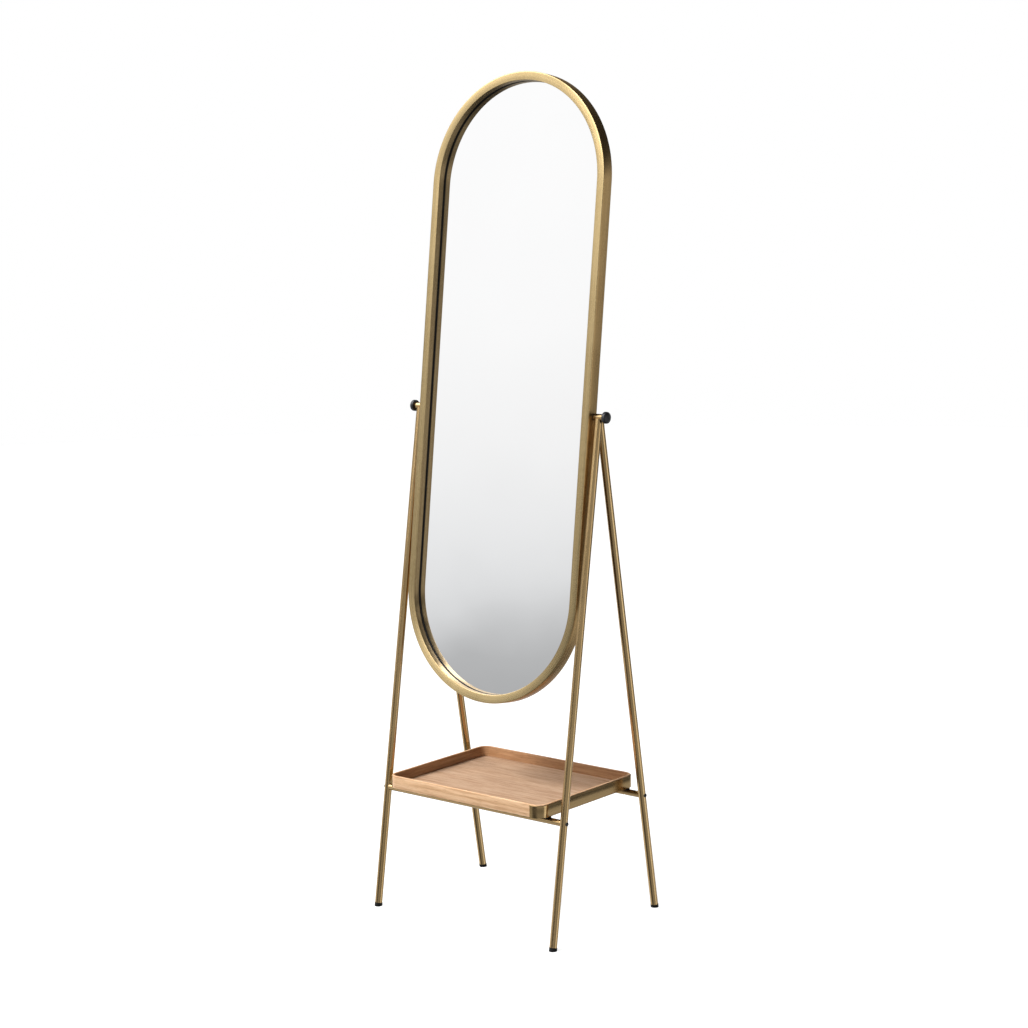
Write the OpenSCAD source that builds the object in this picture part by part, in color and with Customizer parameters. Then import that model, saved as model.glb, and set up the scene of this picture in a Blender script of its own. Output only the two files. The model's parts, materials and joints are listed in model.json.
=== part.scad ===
// Cheval floor mirror: an obround mirror that pivots between two A-frames,
// with a wooden tray resting on two crossbars.
// +X is the viewer's right, -Y is the front, +Z is up. The feet stand on z = 0.

/* [Mirror] */
// Overall width of the mirror frame
mirror_w = 427.8; // [416:0.2:428]
// Overall length of the mirror frame
mirror_h = 1227; // [1100:1:1230]
// Depth of the mirror frame, front to back
frame_d = 25; // [24:0.5:28]
// Width of the frame seen from the front
lip_w = 16.6; // [14:0.1:20]
// How far the mirror leans back at rest, in degrees
tilt = 7.3; // [0:0.1:15]
// Distance from the pivot up to the middle of the mirror
pivot_drop = 42.7; // [20:0.1:60]
// Depth of the pivot axis behind the frame's front face
pivot_depth = 18; // [17:0.5:18]

/* [Stand] */
// Height of the pivot axis above the floor
pivot_z = 1000; // [950:1:1050]
// Diameter of the leg tubes
leg_d = 15; // [14:0.1:16]
// Diameter of the crossbar tubes
bar_d = 12.6; // [12:0.1:13]
// Wall of the leg tubes
tube_wall = 1.2; // [1:0.1:1.5]
// Distance from the centre plane to each pair of legs
leg_x = 225.9; // [225.5:0.1:227]
// Half the spread of the feet, front to back
foot_y = 163.4; // [150:0.1:180]
// Half the spread of the leg centre lines at the pivot axis
top_y = 1.2; // [1:0.1:3]
// Height of the crossbar centre lines
bar_z = 239.3; // [220:1:260]
// Outer diameter of the pivot sleeves
sleeve_d = 13; // [13:0.1:14]
// Diameter of the clamp knobs
knob_d = 22.4; // [20:0.1:26]
// Thickness of the clamp knobs
knob_t = 9.6; // [8:0.1:12]

/* [Tray] */
// Overall width of the tray over its metal bands
tray_w = 395.4; // [380:0.2:400]
// Overall depth of the tray over its metal bands
tray_d = 300.4; // [290:0.2:310]
// Height of the tray wall
tray_h = 25.8; // [20:0.1:32]
// How far the tray's middle sits in front of the pivot axis
tray_fwd = 8.3; // [0:0.1:12]
// Radius of the tray corners
tray_r = 23; // [15:0.5:30]
// Thickness of the tray wall
rim_t = 5; // [4:0.1:6]
// Thickness of the tray floor
floor_t = 5; // [4:0.1:6]
// Thickness of the metal bands
band_t = 1.5; // [1:0.1:2]
// Height of the saddles that carry the tray above the crossbars
saddle_h = 4; // [3:0.1:6]

/* [Hidden] */
$fn = 96;
leg_r = leg_d / 2;
bar_r = bar_d / 2;
leg_a = atan((foot_y - top_y) / pivot_z);
leg_len = sqrt(pow(foot_y - top_y, 2) + pivot_z * pivot_z);
bar_y = foot_y - (foot_y - top_y) * bar_z / pivot_z;
sleeve_r = sleeve_d / 2;
sleeve_in = mirror_w / 2 + 1.5;
sleeve_out = sleeve_in + 23;
stud_r = 4;
stud_fit = 0.08;
leg_top = pivot_z - 1.5;
frame_wall = 1.6;
lip_depth = 15;
rebate = 6.5;
gasket_t = 1.5;
glass_t = 4;
board_t = 3.2;
z_front = pivot_depth;
z_back = pivot_depth - frame_d;
z_ledge = z_front - lip_depth;
z_glass = z_ledge - gasket_t;
z_board = z_glass - glass_t;
open_w = mirror_w - 2 * lip_w;
open_h = mirror_h - 2 * lip_w;
tray_y = -tray_fwd;
tray_z = bar_z + bar_r + saddle_h;
in_x = tray_w - 2 * band_t - 2 * rim_t;
in_y = tray_d - 2 * band_t - 2 * rim_t;
saddle_x = tray_w / 2 - 12;
brass_c = [0.69, 0.59, 0.39];
wood_c = [0.84, 0.70, 0.56];
black_c = [0.10, 0.10, 0.11];
steel_c = [0.62, 0.63, 0.65];

// ---- shared shapes ----

// Flat bar with fully round ends, width w, length h, from z0 to z1
module slab(w, h, z0, z1) {
  s = (h - w) / 2;
  translate([0, 0, z0]) linear_extrude(z1 - z0) {
    translate([-w / 2, -s]) square([w, 2 * s]);
    translate([0, s]) circle(d = w, $fn = 180);
    translate([0, -s]) circle(d = w, $fn = 180);
  }
}

// Box with rounded vertical corners, centred on the axis
module round_box(w, d, r, h) {
  linear_extrude(h) {
    square([w - 2 * r, d], center = true);
    square([w, d - 2 * r], center = true);
    for (sx = [-1, 1], sy = [-1, 1])
      translate([sx * (w / 2 - r), sy * (d / 2 - r)]) circle(r = r);
  }
}

// Places a child drawn in the mirror's own frame: its middle at the origin,
// its length along Y, its front face towards +Z, the pivot axis in z = 0
module on_mirror() {
  translate([0, 0, pivot_z]) rotate([90 - tilt, 0, 0]) translate([0, pivot_drop, 0]) children();
}

// Runs a child up a leg's centre line, from the floor
module on_leg(sx, sy) {
  translate([sx * leg_x, sy * foot_y, 0]) rotate([sy * leg_a, 0, 0]) children();
}

// A rod along X from x0 to x1, always on the side given by sx
module xrod(sx, x0, x1, r) {
  translate([sx > 0 ? x0 : -x1, 0, 0]) rotate([0, 90, 0]) cylinder(r = r, h = x1 - x0);
}

// ---- stand ----

module leg(sx, sy) {
  color(brass_c) difference() {
    on_leg(sx, sy) translate([0, 0, 3.6]) cylinder(r = leg_r, h = leg_len);
    on_leg(sx, sy) translate([0, 0, 2]) cylinder(r = leg_r - tube_wall, h = leg_len - 62);
    translate([sx * leg_x - 30, sy > 0 ? -60 : 0, pivot_z - 100]) cube([60, 60, 160]);
    translate([0, 0, pivot_z]) xrod(sx, leg_x - 20, leg_x + 20, sleeve_r);
    translate([sx * leg_x - 30, -40, leg_top]) cube([60, 80, 40]);
    translate([0, sy * bar_y, bar_z]) xrod(sx, leg_x - 10, leg_x + 10, 2.55);
  }
}
module left_front_leg() { leg(-1, -1); }
module left_rear_leg() { leg(-1, 1); }
module right_front_leg() { leg(1, -1); }
module right_rear_leg() { leg(1, 1); }

module sleeve(sx) {
  color(brass_c) translate([0, 0, pivot_z]) difference() {
    xrod(sx, sleeve_in, sleeve_out, sleeve_r);
    xrod(sx, sleeve_in - 1, sleeve_out + 1, stud_r + stud_fit);
  }
}
module left_pivot_sleeve() { sleeve(-1); }
module right_pivot_sleeve() { sleeve(1); }

module crossbar(sy) {
  color(brass_c) difference() {
    translate([-leg_x, sy * bar_y, bar_z]) rotate([0, 90, 0]) cylinder(r = bar_r, h = 2 * leg_x);
    translate([-leg_x - 1, sy * bar_y, bar_z]) rotate([0, 90, 0]) cylinder(r = bar_r - tube_wall, h = 2 * leg_x + 2);
    for (sx = [-1, 1]) {
      on_leg(sx, sy) translate([0, 0, 100]) cylinder(r = leg_r, h = 300);
      translate([sx * saddle_x, sy * bar_y, bar_z]) cylinder(r = 2.05, h = 20);
      translate([sx * saddle_x, sy * bar_y, bar_z - 10]) cylinder(r = 4.1, h = 9);
    }
  }
}
module front_crossbar() { crossbar(-1); }
module rear_crossbar() { crossbar(1); }

module crossbar_inserts() {
  color(steel_c) for (sx = [-1, 1], sy = [-1, 1]) difference() {
    translate([0, sy * bar_y, bar_z]) xrod(sx, leg_x - leg_r - 14, leg_x, bar_r - tube_wall);
    on_leg(sx, sy) translate([0, 0, 100]) cylinder(r = leg_r, h = 300);
    translate([0, sy * bar_y, bar_z]) xrod(sx, leg_x - leg_r - 15, leg_x + 1, 2.55);
  }
}

module crossbar_screws() {
  color(black_c) for (sx = [-1, 1], sy = [-1, 1]) translate([0, sy * bar_y, bar_z]) {
    xrod(sx, leg_x - leg_r - 12, leg_x + leg_r, 2.5);
    translate([sx * (leg_x + leg_r), 0, 0]) rotate([0, sx * 90, 0]) rotate_extrude()
      polygon([[0, 0], [3.75, 0], [3.75, 0.6], [3.4, 1.2], [2.6, 1.7], [1.5, 1.9], [1.5, 0.9], [0, 0.9]]);
  }
}

module foot_caps() {
  color(black_c) for (sx = [-1, 1], sy = [-1, 1]) difference() {
    on_leg(sx, sy) translate([0, 0, -4]) cylinder(r = leg_r + 0.4, h = 10.6);
    on_leg(sx, sy) translate([0, 0, 3.6]) cylinder(r = leg_r, h = 20);
    translate([sx * leg_x - 20, sy * foot_y - 20, -20]) cube([40, 40, 20]);
  }
}

// ---- tray ----

module tray_floor() {
  color(wood_c) difference() {
    translate([0, tray_y, tray_z]) round_box(in_x, in_y, tray_r - rim_t - band_t, floor_t);
    for (sx = [-1, 1], sy = [-1, 1]) translate([sx * saddle_x, sy * bar_y, tray_z - 1]) cylinder(r = 2.05, h = 4.6);
  }
}

module tray_rim() {
  color(wood_c) translate([0, tray_y, tray_z]) difference() {
    round_box(tray_w - 2 * band_t, tray_d - 2 * band_t, tray_r - band_t, tray_h);
    translate([0, 0, -1]) round_box(in_x, in_y, tray_r - rim_t - band_t, tray_h + 2);
  }
}

// The right band returns onto the long faces; the left one ends half way round its corners
module tray_band(sx) {
  reach = sx > 0 ? tray_r + 5 : tray_r * (1 - sin(45));
  color(brass_c) translate([0, tray_y, tray_z]) intersection() {
    difference() {
      round_box(tray_w, tray_d, tray_r, tray_h - 1.6);
      translate([0, 0, -1]) round_box(tray_w - 2 * band_t, tray_d - 2 * band_t, tray_r - band_t, tray_h + 2);
    }
    translate([sx > 0 ? tray_w / 2 - reach : -tray_w / 2 - 5, -tray_d, -1]) cube([reach + 5, 2 * tray_d, tray_h + 2]);
  }
}
module left_tray_band() { tray_band(-1); }
module right_tray_band() { tray_band(1); }

module tray_saddles() {
  color(black_c) for (sx = [-1, 1], sy = [-1, 1]) difference() {
    translate([sx * saddle_x - 6, sy * bar_y - 5, bar_z + 3]) cube([12, 10, tray_z - bar_z - 3]);
    translate([0, sy * bar_y, bar_z]) xrod(sx, saddle_x - 10, saddle_x + 10, bar_r);
    translate([sx * saddle_x, sy * bar_y, bar_z]) cylinder(r = 2.05, h = 20);
  }
}

// Screws driven up through the access holes, their heads inside the crossbars
module tray_screws() {
  color(black_c) for (sx = [-1, 1], sy = [-1, 1]) translate([sx * saddle_x, sy * bar_y, bar_z]) {
    translate([0, 0, 3.4]) cylinder(r = 2, h = tray_z - bar_z);
    translate([0, 0, 1.4]) cylinder(r = 3.6, h = 2);
  }
}

// ---- mirror ----

module mirror_frame() {
  color(brass_c) on_mirror() difference() {
    slab(mirror_w, mirror_h, z_back, z_front);
    slab(open_w, open_h, z_back - 1, z_front + 1);
    slab(open_w + 2 * rebate, open_h + 2 * rebate, z_back - 1, z_ledge);
    difference() {
      slab(mirror_w - 2 * frame_wall, mirror_h - 2 * frame_wall, z_back - 1, z_ledge + frame_wall);
      slab(open_w + 2 * rebate + 2 * frame_wall, open_h + 2 * rebate + 2 * frame_wall, z_back - 2, z_ledge + frame_wall + 1);
    }
    difference() {
      slab(mirror_w - 2 * frame_wall, mirror_h - 2 * frame_wall, z_ledge + frame_wall - 0.001, z_front - frame_wall);
      slab(open_w + 2 * frame_wall, open_h + 2 * frame_wall, z_ledge, z_front + 1);
    }
    for (sx = [-1, 1]) translate([0, -pivot_drop, 0]) xrod(sx, mirror_w / 2 - frame_wall - 0.4, mirror_w / 2 + 1, stud_r + 0.3);
  }
}

module mirror_glass() {
  color([0.86, 0.88, 0.90]) on_mirror()
    slab(open_w + 2 * rebate - 1, open_h + 2 * rebate - 1, z_board, z_glass);
}

module glass_gasket() {
  color(black_c) on_mirror() difference() {
    slab(open_w + 2 * rebate - 1, open_h + 2 * rebate - 1, z_glass, z_ledge);
    slab(open_w - 0.8, open_h - 0.8, z_glass - 1, z_ledge + 1);
  }
}

module backing_board() {
  color([0.35, 0.27, 0.20]) on_mirror()
    slab(open_w + 2 * rebate - 1, open_h + 2 * rebate - 1, z_board - board_t, z_board);
}

// Spring clip hooked over the rebate wall, pressing on the backing board
module back_clip() {
  wall_in = rebate - 0.5;
  g = rebate + frame_wall + 0.2;
  translate([0, 7, 0]) rotate([90, 0, 0]) linear_extrude(14)
    polygon([[-8, z_board - board_t], [wall_in, z_board - board_t], [wall_in, z_back - 0.1],
      [g, z_back - 0.1], [g, z_back + 5], [g + 1, z_back + 5], [g + 1, z_back - 1.1], [-8, z_back - 1.1]]);
}

module back_clips() {
  color(steel_c) on_mirror() {
    for (sx = [0, 1], y = [-330, -110, 110, 330])
      mirror([sx, 0, 0]) translate([open_w / 2, y, 0]) back_clip();
    for (sy = [0, 1]) mirror([0, sy, 0]) translate([0, open_h / 2, 0]) rotate([0, 0, 90]) back_clip();
  }
}

module pivot_insert(sx) {
  color(steel_c) on_mirror() translate([0, -pivot_drop, 0]) difference() {
    xrod(sx, open_w / 2 + rebate + frame_wall, mirror_w / 2 - frame_wall, 6.5);
    xrod(sx, open_w / 2 + rebate, mirror_w / 2, stud_r + stud_fit);
  }
}
module left_pivot_insert() { pivot_insert(-1); }
module right_pivot_insert() { pivot_insert(1); }

module friction_washer(sx) {
  color(black_c) translate([0, 0, pivot_z]) difference() {
    xrod(sx, mirror_w / 2, mirror_w / 2 + 1.2, 6.4);
    xrod(sx, mirror_w / 2 - 1, mirror_w / 2 + 2, stud_r + 0.3);
  }
}
module left_friction_washer() { friction_washer(-1); }
module right_friction_washer() { friction_washer(1); }

// ---- clamp knobs ----

module knob(sx) {
  k = knob_d / 2;
  color(black_c) translate([sx * (sleeve_out + 0.3), 0, pivot_z]) rotate([0, sx * 90, 0]) difference() {
    rotate_extrude() {
      square([k - 0.8, knob_t - 4.2]);
      translate([0, 0.8]) square([k, knob_t - 5]);
      translate([k - 0.8, 0.8]) circle(r = 0.8, $fn = 32);
      translate([0, knob_t - 4.2]) intersection() {
        translate([0, 4.2 - 17]) circle(r = 17, $fn = 180);
        square([k - 0.9, 6]);
      }
      translate([0, knob_t - 4.2]) square([k - 1.6, 1.2]);
    }
    translate([0, 0, -1]) cylinder(r = stud_r, h = 6);
  }
}
module left_knob() { knob(-1); }
module right_knob() { knob(1); }

module pivot_stud(sx) {
  color(steel_c) translate([0, 0, pivot_z])
    xrod(sx, open_w / 2 + rebate + frame_wall + 0.6, sleeve_out + 0.3 + 5, stud_r);
}
module left_pivot_stud() { pivot_stud(-1); }
module right_pivot_stud() { pivot_stud(1); }

left_front_leg();
left_rear_leg();
right_front_leg();
right_rear_leg();
left_pivot_sleeve();
right_pivot_sleeve();
front_crossbar();
rear_crossbar();
crossbar_inserts();
crossbar_screws();
foot_caps();
tray_floor();
tray_rim();
left_tray_band();
right_tray_band();
tray_saddles();
tray_screws();
mirror_frame();
mirror_glass();
glass_gasket();
backing_board();
back_clips();
left_pivot_insert();
right_pivot_insert();
left_friction_washer();
right_friction_washer();
left_knob();
left_pivot_stud();
right_knob();
right_pivot_stud();
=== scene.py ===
import bpy, bmesh, math, json
from mathutils import Vector, Matrix


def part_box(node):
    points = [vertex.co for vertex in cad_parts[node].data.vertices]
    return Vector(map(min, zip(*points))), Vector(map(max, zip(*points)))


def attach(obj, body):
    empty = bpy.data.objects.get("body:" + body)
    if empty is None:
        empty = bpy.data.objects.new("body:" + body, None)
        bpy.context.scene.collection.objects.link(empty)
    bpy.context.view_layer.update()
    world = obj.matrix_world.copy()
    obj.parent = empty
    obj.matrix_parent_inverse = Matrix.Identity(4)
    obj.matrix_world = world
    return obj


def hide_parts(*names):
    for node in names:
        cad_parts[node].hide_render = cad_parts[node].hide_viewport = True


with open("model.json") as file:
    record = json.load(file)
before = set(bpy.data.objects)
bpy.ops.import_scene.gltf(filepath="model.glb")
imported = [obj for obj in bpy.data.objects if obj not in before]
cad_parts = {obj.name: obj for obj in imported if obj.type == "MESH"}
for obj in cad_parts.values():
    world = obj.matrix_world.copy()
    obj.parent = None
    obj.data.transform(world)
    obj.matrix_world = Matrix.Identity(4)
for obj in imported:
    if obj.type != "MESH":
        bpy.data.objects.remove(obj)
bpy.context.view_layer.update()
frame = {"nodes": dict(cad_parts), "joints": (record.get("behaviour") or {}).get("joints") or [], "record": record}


N = frame["nodes"]

# ------------------------------------------------------------------ camera
AZ, EL, ROLL = math.radians(39.77), math.radians(8.34), math.radians(-1.01)
DIST, FOCAL = 4.34679, 2220.21
TARGET = Vector((0.01289, 0.0, 0.79888))
back = Vector((math.sin(AZ) * math.cos(EL), -math.cos(AZ) * math.cos(EL), math.sin(EL)))
right = (-back).cross(Vector((0, 0, 1))).normalized()
up = right.cross(-back)
r2 = right * math.cos(ROLL) + up * math.sin(ROLL)
u2 = -right * math.sin(ROLL) + up * math.cos(ROLL)
cd = bpy.data.cameras.new("camera")
cd.sensor_width = 36.0
cd.lens = FOCAL / 1028 * 36.0
cd.clip_end = 200
cam = bpy.data.objects.new("camera", cd)
bpy.context.scene.collection.objects.link(cam)
rot = Matrix((r2, u2, back)).transposed().to_4x4()
cam.matrix_world = Matrix.Translation(TARGET + back * DIST) @ rot
bpy.context.scene.camera = cam
bpy.context.scene.view_settings.view_transform = "Standard"

# ------------------------------------------------------------------ node helpers


class Mat:
    def __init__(self, name):
        self.m = bpy.data.materials.new(name)
        self.m.use_nodes = True
        self.t = self.m.node_tree
        self.b = self.t.nodes["Principled BSDF"]

    def n(self, kind, **kw):
        nd = self.t.nodes.new(kind)
        for k, v in kw.items():
            if k.startswith("i_"):
                key = k[2:].replace("_", " ")
                nd.inputs[key].default_value = v
            else:
                setattr(nd, k, v)
        return nd

    def link(self, a, b):
        self.t.links.new(a, b)

    def coords(self, kind, scale, rot=(0, 0, 0)):
        tc = self.n("ShaderNodeTexCoord")
        mp = self.n("ShaderNodeMapping")
        mp.inputs["Scale"].default_value = scale
        mp.inputs["Rotation"].default_value = rot
        self.link(tc.outputs[kind], mp.inputs["Vector"])
        return mp.outputs["Vector"]

    def noise(self, vec, scale=1.0, detail=4.0, rough=0.5, distort=0.0):
        nd = self.n("ShaderNodeTexNoise")
        nd.inputs["Scale"].default_value = scale
        nd.inputs["Detail"].default_value = detail
        nd.inputs["Roughness"].default_value = rough
        nd.inputs["Distortion"].default_value = distort
        self.link(vec, nd.inputs["Vector"])
        return nd.outputs["Fac"]

    def ramp(self, fac, stops, interp="LINEAR"):
        nd = self.n("ShaderNodeValToRGB")
        nd.color_ramp.interpolation = interp
        els = nd.color_ramp.elements
        while len(els) > 1:
            els.remove(els[0])
        for i, (p, c) in enumerate(stops):
            e = els[0] if i == 0 else els.new(p)
            e.position = p
            e.color = tuple(c) + (1,) if len(c) == 3 else c
        self.link(fac, nd.inputs["Fac"])
        return nd.outputs["Color"]

    def mapr(self, fac, lo, hi, a, b, smooth=False):
        nd = self.n("ShaderNodeMapRange")
        if smooth:
            nd.interpolation_type = "SMOOTHSTEP"
        nd.inputs["From Min"].default_value = lo
        nd.inputs["From Max"].default_value = hi
        nd.inputs["To Min"].default_value = a
        nd.inputs["To Max"].default_value = b
        self.link(fac, nd.inputs["Value"])
        return nd.outputs["Result"]

    def mix(self, fac, a, b, mode="MIX"):
        nd = self.n("ShaderNodeMix")
        nd.data_type = "RGBA"
        nd.blend_type = mode
        for sock, v in ((nd.inputs[0], fac), (nd.inputs[6], a), (nd.inputs[7], b)):
            if hasattr(v, "is_linked") or hasattr(v, "links"):
                self.link(v, sock)
            else:
                sock.default_value = v
        return nd.outputs[2]

    def math(self, op, a, b=None):
        nd = self.n("ShaderNodeMath", operation=op)
        for sock, v in ((nd.inputs[0], a), (nd.inputs[1], b)):
            if v is None:
                continue
            if hasattr(v, "links"):
                self.link(v, sock)
            else:
                sock.default_value = v
        return nd.outputs[0]

    def bump(self, height, strength, dist, normal=None):
        nd = self.n("ShaderNodeBump")
        nd.inputs["Strength"].default_value = strength
        nd.inputs["Distance"].default_value = dist
        self.link(height, nd.inputs["Height"])
        if normal is not None:
            self.link(normal, nd.inputs["Normal"])
        return nd.outputs["Normal"]


def brass(name, kind, along, across, rough=0.30, tone=1.0, aniso=0.0, contrast=1.0, lean=0.0, bump=0.12, shade_zones=None, coat=0.0,
          dull=1.0):
    """Brushed, lacquered brass. along and across scale the texture so that the brush lines run the right way.
    The optional profile colours, as (distance round the profile, colour) steps, paint light and shade onto the one
    brass: a lighter lip as lit, a darker side face and inner wall as painted shade, and a near-black strip by the glass
    as painted shadow of the gap."""
    M = Mat(name)
    tc0 = M.n("ShaderNodeTexCoord")
    if kind == "UV":
        src = tc0.outputs["UV"]
        sc = (along, across, 1)
        sb = (along * 0.30, across * 0.10, 1)
    else:
        src = tc0.outputs["Object"]
        if lean:
            vr = M.n("ShaderNodeVectorRotate", rotation_type="X_AXIS")
            vr.inputs["Angle"].default_value = lean
            M.link(src, vr.inputs["Vector"])
            src = vr.outputs["Vector"]
        sc = kind_scale(kind, along, across)
        sb = kind_scale(kind, along * 0.30, across * 0.10)

    def mapped(scale):
        mp = M.n("ShaderNodeMapping")
        mp.inputs["Scale"].default_value = scale
        M.link(src, mp.inputs["Vector"])
        return mp.outputs["Vector"]

    tc = tc0.outputs["Object"]
    f = M.noise(mapped(sc), 1.0, 3.0, 0.6)
    g = M.noise(mapped(sb), 1.0, 3.0, 0.55)
    patina = M.noise(tc, 11.0, 4.0, 0.6)
    # Painted light and shade: each part of the profile takes its own lit or shaded colour by UV distance round it.
    if shade_zones:
        sepv = M.n("ShaderNodeSeparateXYZ")
        M.link(tc0.outputs["UV"], sepv.inputs[0])
        span = shade_zones[-1][0]
        stops = [(min(max(p / span, 0.0), 1.0), c) for p, c in shade_zones]
        shade_zone = M.ramp(M.math("DIVIDE", sepv.outputs["Y"], span), stops)
        wide = M.ramp(g, [(0.25, (0.86, 0.855, 0.85)), (0.5, (1, 1, 1)), (0.75, (1.12, 1.125, 1.13))])
        base = M.mix(1.0, shade_zone, wide, "MULTIPLY")
    else:
        base = M.ramp(g, [(0.25, (0.49 * tone, 0.328 * tone, 0.150 * tone)), (0.5, (0.575 * tone, 0.397 * tone, 0.190 * tone)),
                          (0.75, (0.655 * tone, 0.465 * tone, 0.236 * tone))])
    line = M.ramp(f, [(0.3, (0.78, 0.76, 0.72)), (0.55, (1, 1, 1)), (0.8, (1.08, 1.08, 1.07))])
    col = M.mix(0.6 * contrast, base, line, "MULTIPLY")
    pat = M.ramp(patina, [(0.35, (0.88, 0.86, 0.82)), (0.6, (1, 1, 1))])
    col = M.mix(0.55, col, pat, "MULTIPLY")
    M.link(col, M.b.inputs["Base Color"])
    M.b.inputs["Metallic"].default_value = dull
    r1 = M.mapr(f, 0.25, 0.75, rough - 0.05, rough + 0.06)
    r3 = M.mapr(patina, 0.3, 0.7, -0.03, 0.03)
    M.link(M.math("ADD", r1, r3), M.b.inputs["Roughness"])
    if coat:
        M.b.inputs["Coat Weight"].default_value = coat
        M.b.inputs["Coat Roughness"].default_value = 0.12
    if aniso:
        M.b.inputs["Anisotropic"].default_value = aniso
        M.b.inputs["Anisotropic Rotation"].default_value = 0.25
        if kind == "UV":
            tg = M.n("ShaderNodeTangent", direction_type="UV_MAP")
            M.link(tg.outputs[0], M.b.inputs["Tangent"])
    M.link(M.bump(f, bump, 0.0002), M.b.inputs["Normal"])
    return M.m


def kind_scale(axis, along, across):
    s = [across, across, across]
    s["XYZ".index(axis)] = along
    return tuple(s)


def oak(name, kind, along, across, tint=(1, 1, 1), inner=None):
    """Oak veneer: long grain lines, cathedral figure and short dark pores, all stretched along the grain. An optional
    inner (start, end, colour) paints shade onto the wall's inner face by multiplying it darker past that UV height.
    """
    M = Mat(name)

    def co(a, c):
        if kind == "UV":
            return M.coords("UV", (a, c, 1))
        return M.coords("Object", kind_scale(kind, a, c))

    broad = M.noise(co(along * 0.35, across * 0.25), 1.0, 3.0, 0.55, 0.6)
    grain = M.noise(co(along, across), 1.0, 5.0, 0.62, 0.35)
    fine = M.noise(co(along * 2.2, across * 4.5), 1.0, 3.0, 0.6)
    pores = M.noise(co(along * 5.0, across * 7.0), 1.0, 2.0, 0.5)
    t = tint

    def c3(r, g, b):
        return (r * t[0], g * t[1], b * t[2])

    base = M.ramp(grain, [(0.28, c3(0.42, 0.230, 0.120)), (0.42, c3(0.580, 0.365, 0.220)), (0.55, c3(0.680, 0.455, 0.290)),
                          (0.72, c3(0.745, 0.525, 0.350))])
    wide = M.ramp(broad, [(0.3, (0.88, 0.85, 0.82)), (0.5, (1, 1, 1)), (0.7, (1.05, 1.04, 1.02))])
    col = M.mix(0.8, base, wide, "MULTIPLY")
    fl = M.ramp(fine, [(0.35, (0.80, 0.76, 0.72)), (0.55, (1, 1, 1)), (0.75, (1.08, 1.08, 1.08))])
    col = M.mix(0.75, col, fl, "MULTIPLY")
    po = M.ramp(pores, [(0.32, (0.60, 0.50, 0.42)), (0.42, (1, 1, 1))])
    col = M.mix(0.75, col, po, "MULTIPLY")
    # Painted shade: past the given UV height round the profile, which is the wall's inner face, the colour is
    # multiplied darker as if in shade.
    if inner:
        sepv = M.n("ShaderNodeSeparateXYZ")
        M.link(M.n("ShaderNodeTexCoord").outputs["UV"], sepv.inputs[0])
        z0, z1, inner_shade_colour = inner
        col = M.mix(1.0, col, M.mix(M.mapr(sepv.outputs["Y"], z0, z1, 0.0, 1.0), (1, 1, 1, 1), inner_shade_colour + (1,)), "MULTIPLY")
    M.link(col, M.b.inputs["Base Color"])
    M.link(M.mapr(grain, 0.2, 0.8, 0.50, 0.38), M.b.inputs["Roughness"])
    M.b.inputs["Specular IOR Level"].default_value = 0.35
    h = M.math("ADD", M.math("MULTIPLY", grain, 0.5), M.math("MULTIPLY", pores, 0.5))
    M.link(M.bump(h, 0.25, 0.0004), M.b.inputs["Normal"])
    return M.m


def dark(name, colour, rough, scale=900.0, bump=0.15, dist=0.0001, spec=0.5):
    M = Mat(name)
    tc = M.n("ShaderNodeTexCoord").outputs["Object"]
    f = M.noise(tc, scale, 3.0, 0.6)
    g = M.noise(tc, scale * 0.06, 3.0, 0.6)
    a = tuple(v * 0.75 for v in colour)
    b = tuple(v * 1.35 for v in colour)
    col = M.ramp(f, [(0.3, a), (0.7, b)])
    M.link(col, M.b.inputs["Base Color"])
    M.link(M.mapr(g, 0.3, 0.7, rough - 0.06, rough + 0.08), M.b.inputs["Roughness"])
    M.b.inputs["Specular IOR Level"].default_value = spec
    M.link(M.bump(f, bump, dist), M.b.inputs["Normal"])
    return M.m


def steel(name):
    M = Mat(name)
    v = M.coords("Object", (60, 60, 900))
    f = M.noise(v, 1.0, 3.0, 0.6)
    col = M.ramp(f, [(0.3, (0.50, 0.51, 0.52)), (0.7, (0.66, 0.67, 0.68))])
    M.link(col, M.b.inputs["Base Color"])
    M.b.inputs["Metallic"].default_value = 1.0
    M.link(M.mapr(f, 0.2, 0.8, 0.28, 0.42), M.b.inputs["Roughness"])
    M.link(M.bump(f, 0.1, 0.0001), M.b.inputs["Normal"])
    return M.m


def silver_glass(name):
    M = Mat(name)
    tc = M.n("ShaderNodeTexCoord").outputs["Object"]
    f = M.noise(tc, 3.0, 4.0, 0.55)
    col = M.ramp(f, [(0.3, (0.940, 0.940, 0.942)), (0.7, (0.952, 0.952, 0.954))])
    M.link(col, M.b.inputs["Base Color"])
    M.b.inputs["Metallic"].default_value = 1.0
    M.link(M.mapr(f, 0.3, 0.7, 0.004, 0.016), M.b.inputs["Roughness"])
    return M.m


def board(name):
    M = Mat(name)
    tc = M.n("ShaderNodeTexCoord").outputs["Object"]
    f = M.noise(tc, 420.0, 4.0, 0.7)
    g = M.noise(tc, 14.0, 4.0, 0.6)
    a = M.ramp(f, [(0.3, (0.10, 0.058, 0.032)), (0.7, (0.20, 0.125, 0.075))])
    b = M.ramp(g, [(0.3, (0.85, 0.85, 0.85)), (0.7, (1.1, 1.08, 1.05))])
    M.link(M.mix(0.7, a, b, "MULTIPLY"), M.b.inputs["Base Color"])
    M.link(M.mapr(f, 0.2, 0.8, 0.62, 0.80), M.b.inputs["Roughness"])
    M.link(M.bump(f, 0.3, 0.0003), M.b.inputs["Normal"])
    return M.m


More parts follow.
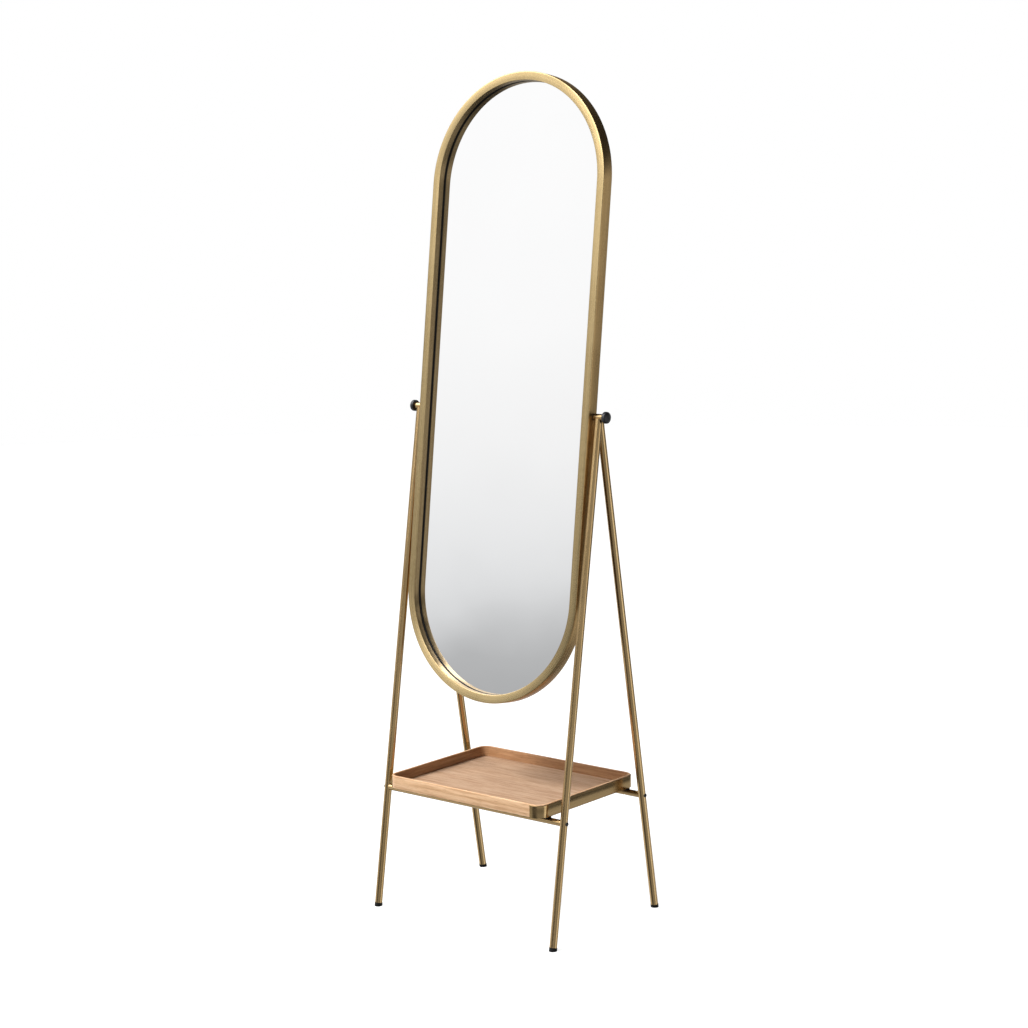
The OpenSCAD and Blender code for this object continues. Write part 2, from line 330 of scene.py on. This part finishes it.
# ------------------------------------------------------------------ sizes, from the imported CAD
fr_lo, fr_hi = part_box("mirror_frame")
PIVOT = Vector((0, 0, 1.0))
for j in frame["joints"]:
    if j["name"] == "mirror_tilt":
        PIVOT = Vector(j["pos_m"])
R_OUT = fr_hi.x
MW, MH, MD = 0.4278, 1.227, 0.025
LIP, DROP, PDEPTH, TILT = 0.0166, 0.0427, 0.018, math.radians(7.3)
LEDGE, WALL, REB = 0.015, 0.0016, 0.0065
LEAN = math.atan2(0.1622, 1.0)
ON_MIRROR = Matrix.Translation(PIVOT) @ Matrix.Rotation(math.radians(90) - TILT, 4, "X") @ Matrix.Translation((0, DROP, 0))


def fillet(pts, radii, seg=4):
    """Rounds the corners of a closed profile. pts are (a, b) pairs; radii gives each corner's radius."""
    out = []
    n = len(pts)
    for i in range(n):
        p0, p1, p2 = Vector(pts[i - 1]), Vector(pts[i]), Vector(pts[(i + 1) % n])
        r = radii[i]
        if r <= 0:
            out.append(tuple(p1))
            continue
        d0, d2 = (p0 - p1).normalized(), (p2 - p1).normalized()
        ang = d0.angle(d2)
        t = r / math.tan(ang / 2)
        a, b = p1 + d0 * t, p1 + d2 * t
        c = p1 + (d0 + d2).normalized() * (r / math.sin(ang / 2))
        a0 = math.atan2(a.y - c.y, a.x - c.x)
        a1 = math.atan2(b.y - c.y, b.x - c.x)
        da = (a1 - a0 + math.pi) % (2 * math.pi) - math.pi
        for k in range(seg + 1):
            q = a0 + da * k / seg
            out.append((c.x + r * math.cos(q), c.y + r * math.sin(q)))
    return out


def loft(name, stations, profile, closed, caps=True):
    """Sweeps a closed profile of (outward, height) along stations of (centre, outward direction, path length).
    The UV map runs in metres along the path and round the profile."""
    bm = bmesh.new()
    uvl = bm.loops.layers.uv.new("UVMap")
    m = len(profile)
    vlen = [0.0]
    for i in range(m):
        a, b = profile[i], profile[(i + 1) % m]
        vlen.append(vlen[-1] + math.hypot(b[0] - a[0], b[1] - a[1]))
    rings = []
    for c, d, s in stations:
        rings.append([bm.verts.new((c[0] + d[0] * p[0], c[1] + d[1] * p[0], p[1])) for p in profile])
    cnt = len(stations)
    total = stations[-1][2]
    if closed:
        a, b = stations[-1], stations[0]
        total += math.hypot((a[0][0] + a[1][0] * profile[0][0]) - (b[0][0] + b[1][0] * profile[0][0]),
                            (a[0][1] + a[1][1] * profile[0][0]) - (b[0][1] + b[1][1] * profile[0][0]))
    for i in range(cnt if closed else cnt - 1):
        j = (i + 1) % cnt
        s0 = stations[i][2]
        s1 = stations[j][2] if j else total
        for k in range(m):
            l = (k + 1) % m
            f = bm.faces.new((rings[i][k], rings[j][k], rings[j][l], rings[i][l]))
            for lp, uv in zip(f.loops, ((s0, vlen[k]), (s1, vlen[k]), (s1, vlen[k + 1]), (s0, vlen[k + 1]))):
                lp[uvl].uv = uv
    if not closed and caps:
        bm.faces.new(list(reversed(rings[0])))
        bm.faces.new(rings[-1])
    bmesh.ops.recalc_face_normals(bm, faces=bm.faces)
    me = bpy.data.meshes.new(name)
    bm.to_mesh(me)
    bm.free()
    ob = bpy.data.objects.new(name, me)
    bpy.context.scene.collection.objects.link(ob)
    return ob


def smooth(ob, angle=32):
    for p in ob.data.polygons:
        p.use_smooth = True
    ob.data.set_sharp_from_angle(angle=math.radians(angle))
    return ob


def stadium_path(w, h, seg=80, straight=24):
    """Stations round a flat bar with round ends: centre, outward direction, length along the outer edge."""
    s = (h - w) / 2
    out, L = [], 0.0
    R = w / 2
    pts = []
    for i in range(straight):
        pts.append(((0.0, -s + 2 * s * i / straight), (1.0, 0.0)))
    for i in range(seg):
        a = math.pi * i / seg
        pts.append(((0.0, s), (math.cos(a), math.sin(a))))
    for i in range(straight):
        pts.append(((0.0, s - 2 * s * i / straight), (-1.0, 0.0)))
    for i in range(seg):
        a = math.pi + math.pi * i / seg
        pts.append(((0.0, -s), (math.cos(a), math.sin(a))))
    prev = None
    for c, d in pts:
        p = Vector((c[0] + d[0] * R, c[1] + d[1] * R))
        if prev is not None:
            L += (p - prev).length
        prev = p
        out.append((c, d, L))
    return out


def add_piece(ob, body, mats, replaces=(), world=None):
    if world is not None:
        ob.data.transform(world)
    ob.data.materials.clear()
    for m in mats:
        ob.data.materials.append(m)
    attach(ob, body)
    if replaces:
        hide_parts(*replaces)
    return ob


# ------------------------------------------------------------------ materials
# Profile colours of the one brass frame: the lip is painted lighter as lit, the side face and inner wall are painted
# darker as shade.
SIDE_SHADED_C, FACE_LIT_C, WALL_SHADED_C = (0.56, 0.372, 0.160), (0.640, 0.480, 0.242), (0.46, 0.330, 0.165)
# Painted shadow: the deepest strip of the inner wall and the rebate beside the glass are painted near-black as the
# shaded gap.
GAP_SHADOW_C = (0.060, 0.045, 0.028)
m_frame = brass("brass_frame_mat", "UV", 6.0, 2600.0, rough=0.27, aniso=0.86, bump=0.07, coat=0.12,
                shade_zones=[(0.0, SIDE_SHADED_C), (0.0236, SIDE_SHADED_C), (0.0252, FACE_LIT_C), (0.0402, FACE_LIT_C), (0.0412, WALL_SHADED_C), (0.0525, WALL_SHADED_C), (0.0540, GAP_SHADOW_C), (0.06, GAP_SHADOW_C)])
m_tube = brass("brass_front_leg_mat", "Z", 9.0, 1500.0, rough=0.20, lean=LEAN, bump=0.05, coat=0.15)
m_tube_b = brass("brass_rear_leg_mat", "Z", 9.0, 1500.0, rough=0.20, lean=-LEAN, bump=0.05, coat=0.15)
m_bar = brass("brass_bar_mat", "X", 9.0, 1500.0, rough=0.20, bump=0.05, coat=0.15)
m_band = brass("brass_band_mat", "UV", 9.0, 2200.0, rough=0.20, tone=0.95, bump=0.06)
m_floor = oak("oak_floor_mat", "X", 9.0, 150.0, tint=(0.70, 0.70, 0.735))
# The rim's inner face is painted darker as shade through the inner tint.
m_rim = oak("oak_rim_mat", "UV", 9.0, 170.0, tint=(1.08, 1.06, 1.00), inner=(0.0275, 0.0300, (0.66, 0.56, 0.48)))
m_glass = silver_glass("mirror_glass_mat")
m_board = board("backing_board_mat")
m_plastic = dark("black_plastic_mat", (0.012, 0.013, 0.015), 0.34, 1400.0, 0.12)
m_rubber = dark("black_rubber_mat", (0.006, 0.006, 0.006), 0.62, 700.0, 0.25, spec=0.25)
m_blackm = dark("black_metal_mat", (0.016, 0.016, 0.015), 0.30, 1200.0, 0.10)
m_steel = steel("steel_mat")

slot_mat = {"brass_frame": m_frame, "brass_tube": m_tube, "brass_band": m_band, "oak_floor": m_floor, "oak_rim": m_rim,
            "mirror_glass": m_glass, "backing_board": m_board, "black_plastic": m_plastic, "black_rubber": m_rubber,
            "black_metal": m_blackm, "steel": m_steel}
for sp in frame["record"]["subparts"]:
    ob = N[sp["node"]]
    mat = slot_mat[sp["material_slot"]]
    if sp["node"].endswith("crossbar") or sp["node"].endswith("sleeve"):
        mat = m_bar
    if sp["node"].endswith("rear_leg"):
        mat = m_tube_b
    if not ob.data.materials:
        ob.data.materials.append(mat)
    for i in range(len(ob.data.materials)):
        ob.data.materials[i] = mat

# ------------------------------------------------------------------ mirror frame
zf, zb = PDEPTH, PDEPTH - MD
zl = zf - LEDGE
ro, ri = MW / 2, MW / 2 - LIP
rr = ri + REB
prof = [(ro, zb), (ro, zf), (ri, zf), (ri, zl), (rr, zl), (rr, zb), (rr + WALL, zb), (rr + WALL, zl + WALL),
        (ri + WALL, zl + WALL), (ri + WALL, zf - WALL), (ro - WALL, zf - WALL), (ro - WALL, zb)]
rad = [0.0004, 0.0020, 0.0008, 0.0003, 0, 0.0003, 0.0003, 0, 0, 0, 0, 0.0004]
fprof = fillet(prof, rad)
frame_ob = smooth(loft("frame_channel", stadium_path(MW, MH), fprof, True))
add_piece(frame_ob, "mirror", [m_frame], ["mirror_frame"], ON_MIRROR)


# ------------------------------------------------------------------ tray rim and bands
tr_lo, tr_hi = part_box("tray_rim")
bd_lo, bd_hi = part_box("right_tray_band")
TRX, TRY = tr_hi.x, (tr_hi.y - tr_lo.y) / 2
TRAY_AT = Matrix.Translation((0, (tr_hi.y + tr_lo.y) / 2, 0))
TZ, TH = tr_lo.z, tr_hi.z - tr_lo.z
RIM_T = 0.005
BX, BY = bd_hi.x, (bd_hi.y - bd_lo.y) / 2
BH = bd_hi.z - bd_lo.z
CR = 0.023


def rounded_path(hx, hy, r, seg=14):
    """Stations round a rounded rectangle, with outward offsets measured from its outer edge."""
    pts = []
    for sx, sy, a0 in ((1, -1, -90), (1, 1, 0), (-1, 1, 90), (-1, -1, 180)):
        cx, cy = sx * (hx - r), sy * (hy - r)
        for k in range(seg + 1):
            a = math.radians(a0 + 90 * k / seg)
            pts.append(((cx + math.cos(a) * r, cy + math.sin(a) * r), (math.cos(a), math.sin(a))))
    full = []
    for i, (p, d) in enumerate(pts):
        full.append((p, d))
        q, e = pts[(i + 1) % len(pts)]
        gap = math.hypot(q[0] - p[0], q[1] - p[1])
        if gap > 0.02:
            for k in range(1, 8):
                full.append(((p[0] + (q[0] - p[0]) * k / 8, p[1] + (q[1] - p[1]) * k / 8), d))
    out, L, prev = [], 0.0, None
    for p, d in full:
        if prev is not None:
            L += math.hypot(p[0] - prev[0], p[1] - prev[1])
        prev = p
        out.append((p, d, L))
    return out


rim_prof = fillet([(0, TZ), (0, TZ + TH), (-RIM_T, TZ + TH), (-RIM_T, TZ)], [0.0006, 0.0014, 0.0014, 0.0002])
rim = smooth(loft("tray_wall", rounded_path(TRX, TRY, CR - 0.0015), rim_prof, True))
add_piece(rim, "stand", [m_rim], ["tray_rim"], TRAY_AT)


def band(side):
    """Metal strip round one end of the tray. The right one runs onto the long faces, the left one ends half way
    round its corners."""
    r = CR
    hx, hy = BX, BY
    skip = 0.0 if side > 0 else 45.0
    pts = []
    if side > 0:
        pts.append(((hx - CR - 0.005, -hy), (0.0, -1.0)))
    for sy, a0, a1 in ((-1, -90 + skip, 0), (1, 0, 90 - skip)):
        for k in range(15):
            a = math.radians(a0 + (a1 - a0) * k / 14)
            pts.append(((hx - r + math.cos(a) * r, sy * (hy - r) + math.sin(a) * r), (math.cos(a), math.sin(a))))
        if sy == -1:
            for k in range(1, 12):
                pts.append(((hx, -(hy - r) + 2 * (hy - r) * k / 12), (1.0, 0.0)))
    if side > 0:
        pts.append(((hx - CR - 0.005, hy), (0.0, 1.0)))
    st, L, prev = [], 0.0, None
    for p, d in pts:
        if prev is not None:
            L += math.hypot(p[0] - prev[0], p[1] - prev[1])
        prev = p
        st.append(((side * p[0], p[1]), (side * d[0], d[1]), L))
    prof = fillet([(0, bd_lo.z), (0, bd_lo.z + BH), (-0.0015, bd_lo.z + BH), (-0.0015, bd_lo.z)], [0.0005, 0.0005, 0.0002, 0.0002], 3)
    name = "right_band" if side > 0 else "left_band"
    ob = smooth(loft(name, st, prof, False))
    bev = ob.modifiers.new("edge", "BEVEL")
    bev.width = 0.00025
    bev.segments = 2
    bev.limit_method = "ANGLE"
    bev.angle_limit = math.radians(60)
    add_piece(ob, "stand", [m_band], [name.replace("_band", "_tray_band")], TRAY_AT)


band(1)
band(-1)


# ------------------------------------------------------------------ knobs
def lathe(name, prof, seg=72):
    """Turns an open profile of (radius, height) about +Z. Points with radius 0 close the ends."""
    bm = bmesh.new()
    uvl = bm.loops.layers.uv.new("UVMap")
    rings = []
    for r, z in prof:
        if r < 1e-7:
            rings.append([bm.verts.new((0, 0, z))])
        else:
            rings.append([bm.verts.new((r * math.cos(2 * math.pi * k / seg), r * math.sin(2 * math.pi * k / seg), z)) for k in range(seg)])
    L = [0.0]
    for a, b in zip(prof, prof[1:]):
        L.append(L[-1] + math.hypot(b[0] - a[0], b[1] - a[1]))
    for i in range(len(rings) - 1):
        a, b = rings[i], rings[i + 1]
        for k in range(seg):
            l = (k + 1) % seg
            if len(a) == 1 and len(b) == 1:
                continue
            if len(a) == 1:
                f = bm.faces.new((a[0], b[k], b[l]))
                uv = ((k / seg, L[i]), (k / seg, L[i + 1]), ((k + 1) / seg, L[i + 1]))
            elif len(b) == 1:
                f = bm.faces.new((a[k], b[0], a[l]))
                uv = ((k / seg, L[i]), (k / seg, L[i + 1]), ((k + 1) / seg, L[i]))
            else:
                f = bm.faces.new((a[k], b[k], b[l], a[l]))
                uv = ((k / seg, L[i]), (k / seg, L[i + 1]), ((k + 1) / seg, L[i + 1]), ((k + 1) / seg, L[i]))
            for lp, q in zip(f.loops, uv):
                lp[uvl].uv = (q[0] * 0.07, q[1])
    bmesh.ops.recalc_face_normals(bm, faces=bm.faces)
    me = bpy.data.meshes.new(name)
    bm.to_mesh(me)
    bm.free()
    ob = bpy.data.objects.new(name, me)
    bpy.context.scene.collection.objects.link(ob)
    return ob


def arc(cx, cy, r, a0, a1, n):
    return [(cx + r * math.cos(math.radians(a0 + (a1 - a0) * k / n)), cy + r * math.sin(math.radians(a0 + (a1 - a0) * k / n))) for k in range(n + 1)]


for side, node in ((1, "right_knob"), (-1, "left_knob")):
    lo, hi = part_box(node)
    k = (hi.z - lo.z) / 2
    t = hi.x - lo.x
    x0 = lo.x if side > 0 else hi.x
    prof = [(0, 0)] + [(0.0042, 0)] + arc(k - 0.0008, 0.0008, 0.0008, -90, 0, 4)
    prof += arc(k - 0.0032, t - 0.0046, 0.0032, 0, 62, 10)
    rr0, zz0 = prof[-1]
    for q in range(1, 15):
        u = q / 14
        prof.append((rr0 * (1 - u), zz0 + (t - zz0) * math.sin(u * math.pi / 2)))
    prof[-1] = (0, t)
    ob = smooth(lathe(node + "_cap", prof), 40)
    Mx = Matrix.Translation((x0, 0, PIVOT.z)) @ Matrix.Rotation(math.radians(90 * side), 4, "Y")
    add_piece(ob, "right_clamp" if side > 0 else "left_clamp", [m_plastic], [node], Mx)

# ------------------------------------------------------------------ edge softening on the carried-over CAD pieces
for name in ("left_pivot_sleeve", "right_pivot_sleeve", "foot_caps", "crossbar_screws", "tray_saddles"):
    ob = N[name]
    bev = ob.modifiers.new("edge", "BEVEL")
    bev.width = 0.0004
    bev.segments = 2
    bev.limit_method = "ANGLE"
    bev.angle_limit = math.radians(50)

# ------------------------------------------------------------------ stage and light
def stage_plane(name, size, z):
    me = bpy.data.meshes.new(name)
    bm = bmesh.new()
    n = 96
    vs = [bm.verts.new((size * math.cos(2 * math.pi * k / n), size * math.sin(2 * math.pi * k / n), z)) for k in range(n)]
    bm.faces.new(vs)
    bm.to_mesh(me)
    bm.free()
    ob = bpy.data.objects.new(name, me)
    bpy.context.scene.collection.objects.link(ob)
    return ob


floor = stage_plane("floor", 9.0, 0.0)
F = Mat("floor_mat")
tc = F.n("ShaderNodeTexCoord").outputs["Object"]
fn = F.noise(tc, 60.0, 3.0, 0.5)
F.link(F.ramp(fn, [(0.3, (0.34, 0.34, 0.34)), (0.7, (0.36, 0.36, 0.36))]), F.b.inputs["Base Color"])
F.b.inputs["Roughness"].default_value = 0.9
F.b.inputs["Specular IOR Level"].default_value = 0.1
F.b.inputs["Emission Color"].default_value = (1, 1, 1, 1)
F.b.inputs["Emission Strength"].default_value = 0.86
floor.data.materials.append(F.m)
floor.visible_glossy = False
floor.visible_diffuse = False

world = bpy.data.worlds.new("studio")
bpy.context.scene.world = world
world.use_nodes = True
wt = world.node_tree
for nd in list(wt.nodes):
    wt.nodes.remove(nd)


def wn(kind, **kw):
    nd = wt.nodes.new(kind)
    for k, v in kw.items():
        setattr(nd, k, v)
    return nd


def wlink(a, b):
    wt.links.new(a, b)


wtc = wn("ShaderNodeTexCoord")
direction = wtc.outputs["Generated"]


def wmath(op, a, b=None, c=None):
    nd = wn("ShaderNodeMath", operation=op)
    for s, v in ((nd.inputs[0], a), (nd.inputs[1], b), (nd.inputs[2], c)):
        if v is None:
            continue
        if hasattr(v, "links"):
            wlink(v, s)
        else:
            s.default_value = v
    return nd.outputs[0]


def wstep(x, lo, hi, a=0.0, b=1.0):
    mr = wn("ShaderNodeMapRange", interpolation_type="SMOOTHSTEP")
    for k, v in (("From Min", lo), ("From Max", hi), ("To Min", a), ("To Max", b)):
        mr.inputs[k].default_value = v
    wlink(x, mr.inputs["Value"])
    return mr.outputs["Result"]


def wmix(f, a, b):
    return wmath("ADD", wmath("MULTIPLY", a, wmath("SUBTRACT", 1.0, f)), wmath("MULTIPLY", b, f))


def lobe(az, el, inner, outer):
    """1 in a round patch of the surroundings, falling to 0. Degrees; az 0 is the front, + to the right."""
    a, e = math.radians(az), math.radians(el)
    d = (math.sin(a) * math.cos(e), -math.cos(a) * math.cos(e), math.sin(e))
    dot = wn("ShaderNodeVectorMath", operation="DOT_PRODUCT")
    wlink(direction, dot.inputs[0])
    dot.inputs[1].default_value = d
    return wstep(dot.outputs["Value"], math.cos(math.radians(outer)), math.cos(math.radians(inner)))


sep = wn("ShaderNodeSeparateXYZ")
wlink(direction, sep.inputs[0])
el_deg = wmath("MULTIPLY", wmath("ARCSINE", sep.outputs["Z"]), 180 / math.pi)
az_deg = wmath("MULTIPLY", wmath("ARCTAN2", sep.outputs["X"], wmath("MULTIPLY", sep.outputs["Y"], -1.0)), 180 / math.pi)


def height_curve(stops, el=None):
    """Brightness by elevation in degrees, straight between the stops."""
    e0, e1 = stops[0][0], stops[-1][0]
    mr = wn("ShaderNodeMapRange")
    mr.inputs["From Min"].default_value = e0
    mr.inputs["From Max"].default_value = e1
    wlink(el if el is not None else el_deg, mr.inputs["Value"])
    rp = wn("ShaderNodeValToRGB")
    els = rp.color_ramp.elements
    top = max(v for _, v in stops)
    els[0].position, els[0].color = 0.0, (stops[0][1] / top,) * 3 + (1,)
    els[1].position, els[1].color = 1.0, (stops[-1][1] / top,) * 3 + (1,)
    for e, v in stops[1:-1]:
        k = els.new((e - e0) / (e1 - e0))
        k.color = (v / top,) * 3 + (1,)
    wlink(mr.outputs["Result"], rp.inputs["Fac"])
    bw = wn("ShaderNodeSeparateColor")
    wlink(rp.outputs["Color"], bw.inputs[0])
    return wmath("MULTIPLY", bw.outputs[0], top)


wnoise = wn("ShaderNodeTexNoise")
wnoise.inputs["Scale"].default_value = 28.0
wnoise.inputs["Detail"].default_value = 2.0
wlink(direction, wnoise.inputs["Vector"])
wave = wmath("MULTIPLY", wmath("SUBTRACT", wnoise.outputs["Fac"], 0.5), 1.1)
sway = wmath("MULTIPLY", wmath("MINIMUM", wmath("MAXIMUM", wmath("ADD", az_deg, 39.8), -3.0), 3.0), -0.28)
el_soft = wmath("ADD", wmath("ADD", el_deg, wave), wmath("ADD", sway, 0.4))
front = height_curve([(-60, 0.40), (-40, 0.42), (-25, 0.45), (-8, 0.42), (-1.5, 0.45), (-0.8, 0.475), (-0.35, 0.505), (0.05, 0.57), (0.6, 0.668),
                      (1.1, 0.742), (1.6, 0.784), (2.4, 0.837), (3.2, 0.875), (4.9, 0.935), (6.5, 0.966), (8, 0.994), (11.2, 1.02),
                      (14.4, 1.03), (30, 1.2), (60, 1.0)], el_soft)
left = height_curve([(-60, 0.30), (-40, 0.85), (-25, 1.05), (-15, 1.0), (-4, 0.75), (-1.5, 0.40), (0.6, 0.14), (5, 0.14), (8, 0.36), (11, 1.15), (14, 1.7), (20, 2.2), (60, 1.1)])
far_left = height_curve([(-60, 0.45), (-40, 0.80), (-25, 1.0), (-8, 1.0), (-1, 0.85), (1, 0.60), (6, 0.60), (14, 0.95), (22, 1.0), (60, 1.0)])
mid = height_curve([(-60, 0.16), (-30, 0.28), (-16, 0.20), (-8, 0.12), (0, 0.10), (5, 0.13), (8, 0.36), (11, 1.15), (14, 1.8), (20, 2.3), (34, 1.2), (48, 0.30), (60, 0.2)])
cam_side = height_curve([(-60, 0.20), (-30, 0.38), (-20, 0.32), (-10, 0.20), (-5, 0.38), (0, 0.58), (6, 0.50), (10, 0.27), (13, 0.14), (18, 0.06), (34, 0.04), (50, 0.07), (60, 0.12)])
rear_right = height_curve([(-60, 0.14), (-40, 0.28), (-20, 0.55), (-15, 0.62), (-13, 0.30), (-8, 0.22), (-5, 0.34), (-1, 0.48), (4, 0.56), (9, 0.24), (16, 0.06), (25, 0.03), (60, 0.03)])
rear_left = height_curve([(-60, 0.25), (-30, 0.65), (-10, 0.88), (2, 0.85), (6, 0.50), (9, 0.20), (14, 0.05), (30, 0.03), (60, 0.03)])
v = wmix(wstep(az_deg, -45, -52), front, left)
v = wmix(wstep(az_deg, -62, -78), v, far_left)
v = wmix(wstep(az_deg, -35, -24), v, mid)
v = wmix(wstep(az_deg, 5, 30), v, cam_side)
v = wmix(wstep(az_deg, 75, 115), v, rear_right)
v = wmix(wmath("MAXIMUM", wstep(az_deg, -95, -125), wstep(az_deg, 168, 180)), v, rear_left)
strip = wmath("MULTIPLY", wmath("MULTIPLY", wstep(az_deg, 86, 96), wstep(az_deg, 122, 112)), wmath("MULTIPLY", wstep(el_deg, -45, -30), wstep(el_deg, 10, 2)))
v = wmath("ADD", v, wmath("MULTIPLY", strip, 0.85))
v = wmath("ADD", v, wmath("MULTIPLY", lobe(-13, 56, 4, 11), 9.0))
v = wmath("ADD", v, wmath("MULTIPLY", lobe(43, 23, 3, 9), 0.7))
v = wmath("ADD", v, wmath("MULTIPLY", lobe(-15, 31, 8, 18), 4.2))
v = wmath("ADD", v, wmath("MULTIPLY", lobe(-74, 48, 16, 32), 3.0))
v = wmath("MULTIPLY", v, wmath("SUBTRACT", 1.0, wmath("MULTIPLY", lobe(-10, -38, 12, 30), 0.6)))
hollow = wmath("MULTIPLY", wmath("MULTIPLY", wstep(az_deg, 122, 130), wstep(az_deg, 172, 160)), wmath("MULTIPLY", wstep(el_deg, -14.2, -12.6), wstep(el_deg, -5.6, -6.8)))
v = wmath("MULTIPLY", v, wmath("SUBTRACT", 1.0, wmath("MULTIPLY", hollow, 0.85)))
v = wmath("MAXIMUM", v, 0.02)
lp = wn("ShaderNodeLightPath")
bg = wn("ShaderNodeBackground")
soft = height_curve([(-90, 0.08), (-10, 0.05), (5, 0.05), (25, 0.10), (50, 0.34), (90, 0.48)])
v = wmix(lp.outputs["Is Diffuse Ray"], v, soft)
wlink(wmix(lp.outputs["Is Camera Ray"], v, 1.0), bg.inputs["Strength"])
tint = wn("ShaderNodeMix")
tint.data_type = "RGBA"
wlink(wmath("MULTIPLY", wstep(el_deg, 6, -2), wmath("SUBTRACT", 1.0, lp.outputs["Is Camera Ray"])), tint.inputs[0])
tint.inputs[6].default_value = (1, 1, 1, 1)
tint.inputs[7].default_value = (0.985, 0.998, 1.010, 1)
wlink(tint.outputs[2], bg.inputs["Color"])
out = wn("ShaderNodeOutputWorld")
wlink(bg.outputs[0], out.inputs["Surface"])


def softbox(name, az, el, dist, size, power, target=(0, 0, 0.8), colour=(1, 1, 1)):
    ld = bpy.data.lights.new(name, "AREA")
    ld.shape = "RECTANGLE"
    ld.size, ld.size_y = size
    ld.energy = power
    ld.color = colour
    ob = bpy.data.objects.new(name, ld)
    bpy.context.scene.collection.objects.link(ob)
    a, e = math.radians(az), math.radians(el)
    d = Vector((math.sin(a) * math.cos(e), -math.cos(a) * math.cos(e), math.sin(e)))
    ob.location = Vector(target) + d * dist
    ob.rotation_euler = d.to_track_quat("Z", "Y").to_euler()
    ob.visible_camera = False
    ob.visible_glossy = False
    return ob


softbox("key", -27, 43, 3.2, (0.8, 0.8), 122)
softbox("low_key", -8, 28, 3.2, (0.25, 0.25), 20)
softbox("side", -100, 50, 3.2, (0.8, 0.8), 30)
